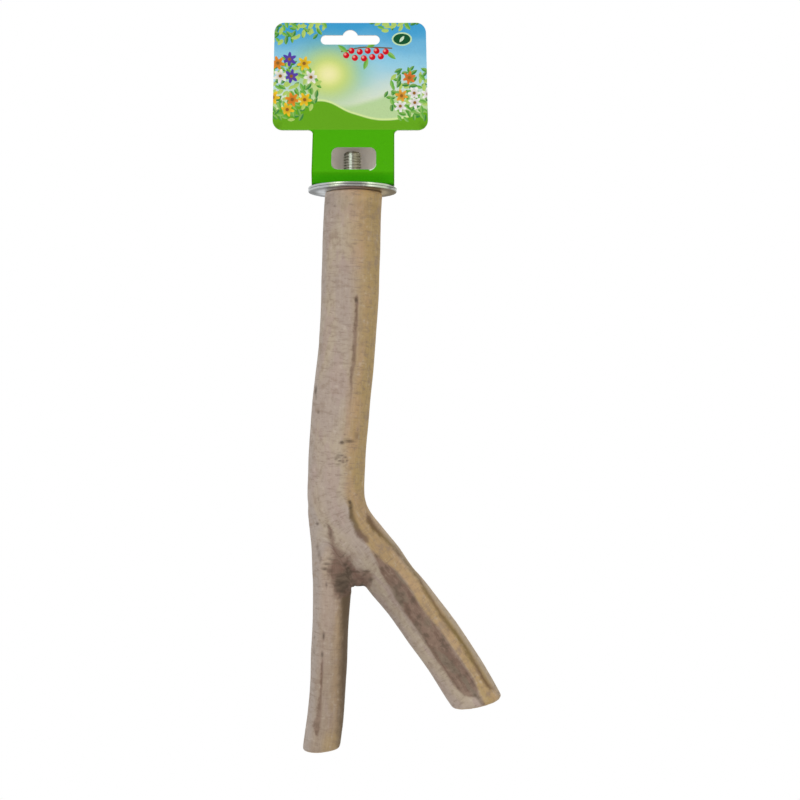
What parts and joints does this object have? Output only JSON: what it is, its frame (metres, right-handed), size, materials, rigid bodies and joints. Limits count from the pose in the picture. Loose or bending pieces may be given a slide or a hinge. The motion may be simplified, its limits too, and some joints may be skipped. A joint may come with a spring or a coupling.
{
  "type": "cage perch",
  "caption": "Natural forked wooden bird perch on a hanger bolt that clamps to cage bars between two fender washers with a nut, with its folded hanging card",
  "frame": {"origin": "on the bolt's axis, at the seam between the two washers, where the cage bars are clamped", "axes": "+Z along the bolt away from the wood, -Y out of the card's printed front, +X to the right of the front view"},
  "size_m": [0.1031, 0.04, 0.3305],
  "materials": {
    "wood": "smooth, rubbed bark with dark streaks",
    "zinc_steel": "bright zinc plate",
    "washer_steel": "bright zinc plate",
    "printed_card": "glossy print outside, grey board inside"
  },
  "bodies": {
    "perch": {"branch": "wood", "hanger_bolt": "zinc_steel"},
    "lower_washer": {"lower_washer": "washer_steel"},
    "upper_washer": {"upper_washer": "washer_steel"},
    "card": {"hanging_card": "printed_card"},
    "nut": {"nut": "zinc_steel"}
  },
  "joints": [
    {"name": "lower_washer_spin", "type": "hinge", "parent": "perch", "child": "lower_washer", "pos_m": [0, 0, 0], "axis": [0, 0, 1], "continuous": true},
    {"name": "nut_travel", "type": "slide", "parent": "perch", "child": "upper_washer", "axis": [0, 0, 1], "range_m": [0, 0.008]},
    {"name": "card_swivel", "type": "hinge", "parent": "upper_washer", "child": "card", "pos_m": [0, 0, 0], "axis": [0, 0, 1], "continuous": true},
    {"name": "nut_spin", "type": "hinge", "parent": "upper_washer", "child": "nut", "pos_m": [0, 0, 0], "axis": [0, 0, 1], "range_deg": [0, 2304]}
  ],
  "couplings": [
    {"joint": "nut_spin", "follows": "nut_travel", "rad_per_m": 5026.5}
  ]
}
